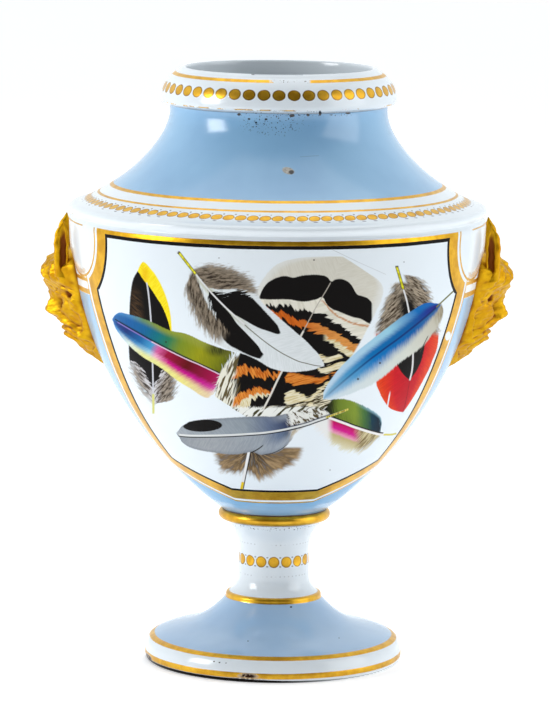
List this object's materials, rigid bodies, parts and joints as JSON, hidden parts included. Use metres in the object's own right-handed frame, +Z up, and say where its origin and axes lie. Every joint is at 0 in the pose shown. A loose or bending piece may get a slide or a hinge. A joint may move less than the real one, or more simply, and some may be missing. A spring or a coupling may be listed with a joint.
{
  "type": "mantel urn",
  "caption": "Footed porcelain mantel urn: hollow tapering bowl, ridged shoulder, cavetto neck, rounded lip, waisted stem on a domed foot, with satyr masks in relief at the sides.",
  "frame": {"origin": "on the urn's axis, at the plane the foot ring stands on", "axes": "+Z up along the axis; the painted front looks along -Y; the masks look along +X and -X"},
  "size_m": [0.1344, 0.1186, 0.17],
  "materials": {
    "porcelain": "glazed porcelain, blue and white grounds, enamel painting and gilding"
  },
  "bodies": {
    "root": {"mantel_urn": "porcelain"}
  },
  "joints": []
}
